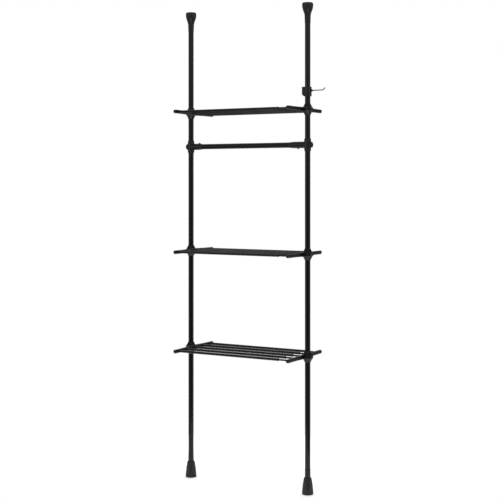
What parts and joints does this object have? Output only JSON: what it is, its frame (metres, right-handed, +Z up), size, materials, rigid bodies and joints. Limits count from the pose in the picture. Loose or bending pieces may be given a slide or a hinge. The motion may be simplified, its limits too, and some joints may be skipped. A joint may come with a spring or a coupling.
{
  "type": "tension pole shelf unit",
  "caption": "Floor-to-ceiling tension pole unit: screw-jacked steel poles carrying clamp-on tube shelves, a telescoping hanger bar and a turning side hook.",
  "frame": {"origin": "middle of the left foot's underside, on the floor", "axes": "+X from the left pole to the right pole, +Y to the back, +Z up along the poles"},
  "size_m": [0.7568, 0.355, 2.286],
  "materials": {
    "coated_tube": "satin black powder coat on steel tube",
    "coated_wire": "satin black powder coat on steel wire",
    "moulded_plastic": "fine-grained black moulding",
    "rubber": "plain black rubber",
    "black_screw": "blackened steel screw",
    "bare_steel": "bright zinc plated steel"
  },
  "bodies": {
    "left_pole": {"left_foot_pad": "rubber", "left_foot_cone": "moulded_plastic", "left_lower_tube": "coated_tube", "left_tube_coupler": "bare_steel", "left_upper_tube": "coated_tube", "left_jack_nut": "moulded_plastic"},
    "right_pole": {"right_foot_pad": "rubber", "right_foot_cone": "moulded_plastic", "right_lower_tube": "coated_tube", "right_tube_coupler": "bare_steel", "right_upper_tube": "coated_tube", "right_jack_nut": "moulded_plastic"},
    "low_shelf_left": {"low_shelf_left_bracket": "moulded_plastic", "low_shelf_left_clamp": "moulded_plastic", "low_shelf_left_screws": "black_screw", "low_shelf_outer_tubes": "coated_tube", "low_shelf_guide_bushes": "moulded_plastic"},
    "low_shelf_right": {"low_shelf_right_bracket": "moulded_plastic", "low_shelf_right_clamp": "moulded_plastic", "low_shelf_right_screws": "black_screw", "low_shelf_inner_tubes": "coated_tube"},
    "middle_shelf_left": {"middle_shelf_left_bracket": "moulded_plastic", "middle_shelf_left_clamp": "moulded_plastic", "middle_shelf_left_screws": "black_screw", "middle_shelf_outer_tubes": "coated_tube", "middle_shelf_guide_bushes": "moulded_plastic"},
    "middle_shelf_right": {"middle_shelf_right_bracket": "moulded_plastic", "middle_shelf_right_clamp": "moulded_plastic", "middle_shelf_right_screws": "black_screw", "middle_shelf_inner_tubes": "coated_tube"},
    "top_shelf_left": {"top_shelf_left_bracket": "moulded_plastic", "top_shelf_left_clamp": "moulded_plastic", "top_shelf_left_screws": "black_screw", "top_shelf_outer_tubes": "coated_tube", "top_shelf_guide_bushes": "moulded_plastic"},
    "top_shelf_right": {"top_shelf_right_bracket": "moulded_plastic", "top_shelf_right_clamp": "moulded_plastic", "top_shelf_right_screws": "black_screw", "top_shelf_inner_tubes": "coated_tube"},
    "bar_left": {"bar_left_tee": "moulded_plastic", "bar_left_screw": "black_screw", "bar_outer_tube": "coated_tube"},
    "bar_right": {"bar_right_tee": "moulded_plastic", "bar_right_screw": "black_screw", "bar_inner_tube": "coated_tube"},
    "bar_left_knob": {"bar_left_knob": "moulded_plastic"},
    "bar_right_knob": {"bar_right_knob": "moulded_plastic"},
    "hook_slide": {"hook_liner": "moulded_plastic"},
    "hook_arm": {"hook_clip": "moulded_plastic", "hook_clip_screw": "black_screw", "hook_wire": "coated_wire"},
    "left_pad": {"left_pad_plate": "bare_steel", "left_ceiling_pad": "rubber"},
    "left_cap": {"left_ceiling_cap": "moulded_plastic", "left_jack_rod": "bare_steel"},
    "right_pad": {"right_pad_plate": "bare_steel", "right_ceiling_pad": "rubber"},
    "right_cap": {"right_ceiling_cap": "moulded_plastic", "right_jack_rod": "bare_steel"}
  },
  "joints": [
    {"name": "pole_spacing", "type": "slide", "parent": "left_pole", "child": "right_pole", "axis": [1, 0, 0], "range_m": [0, 0.36]},
    {"name": "low_shelf_left_height", "type": "slide", "parent": "left_pole", "child": "low_shelf_left", "axis": [0, 0, 1], "range_m": [-0.44, 0.19]},
    {"name": "low_shelf_right_height", "type": "slide", "parent": "right_pole", "child": "low_shelf_right", "axis": [0, 0, 1], "range_m": [-0.44, 0.19]},
    {"name": "middle_shelf_left_height", "type": "slide", "parent": "left_pole", "child": "middle_shelf_left", "axis": [0, 0, 1], "range_m": [-0.215, 0.2]},
    {"name": "middle_shelf_right_height", "type": "slide", "parent": "right_pole", "child": "middle_shelf_right", "axis": [0, 0, 1], "range_m": [-0.215, 0.2]},
    {"name": "top_shelf_left_height", "type": "slide", "parent": "left_pole", "child": "top_shelf_left", "axis": [0, 0, 1], "range_m": [-0.05, 0.012]},
    {"name": "top_shelf_right_height", "type": "slide", "parent": "right_pole", "child": "top_shelf_right", "axis": [0, 0, 1], "range_m": [-0.05, 0.012]},
    {"name": "bar_left_height", "type": "slide", "parent": "left_pole", "child": "bar_left", "axis": [0, 0, 1], "range_m": [-0.235, 0.045]},
    {"name": "bar_right_height", "type": "slide", "parent": "right_pole", "child": "bar_right", "axis": [0, 0, 1], "range_m": [-0.235, 0.045]},
    {"name": "bar_left_knob_turn", "type": "hinge", "parent": "bar_left", "child": "bar_left_knob", "pos_m": [0, 0, 1.625], "axis": [1, 0, 0], "range_deg": [-720, 0]},
    {"name": "bar_right_knob_turn", "type": "hinge", "parent": "bar_right", "child": "bar_right_knob", "pos_m": [0.64, 0, 1.625], "axis": [-1, 0, 0], "range_deg": [-720, 0]},
    {"name": "hook_height", "type": "slide", "parent": "right_pole", "child": "hook_slide", "axis": [0, 0, 1], "range_m": [-0.015, 0.29]},
    {"name": "hook_turn", "type": "hinge", "parent": "hook_slide", "child": "hook_arm", "pos_m": [0.64, 0, 1.873], "axis": [0, 0, 1], "range_deg": [-180, 180]},
    {"name": "left_jack_lift", "type": "slide", "parent": "left_pole", "child": "left_pad", "axis": [0, 0, 1], "range_m": [0, 0.04]},
    {"name": "left_cap_turn", "type": "hinge", "parent": "left_pad", "child": "left_cap", "pos_m": [0, 0, 2.2], "axis": [0, 0, 1], "range_deg": [0, 3600]},
    {"name": "right_jack_lift", "type": "slide", "parent": "right_pole", "child": "right_pad", "axis": [0, 0, 1], "range_m": [0, 0.04]},
    {"name": "right_cap_turn", "type": "hinge", "parent": "right_pad", "child": "right_cap", "pos_m": [0.64, 0, 2.2], "axis": [0, 0, 1], "range_deg": [0, 3600]}
  ],
  "couplings": [
    {"joint": "low_shelf_right_height", "follows": "low_shelf_left_height", "ratio": 1},
    {"joint": "middle_shelf_right_height", "follows": "middle_shelf_left_height", "ratio": 1},
    {"joint": "top_shelf_right_height", "follows": "top_shelf_left_height", "ratio": 1},
    {"joint": "bar_right_height", "follows": "bar_left_height", "ratio": 1},
    {"joint": "left_cap_turn", "follows": "left_jack_lift", "rad_per_m": 1570.8},
    {"joint": "right_cap_turn", "follows": "right_jack_lift", "rad_per_m": 1570.8}
  ]
}
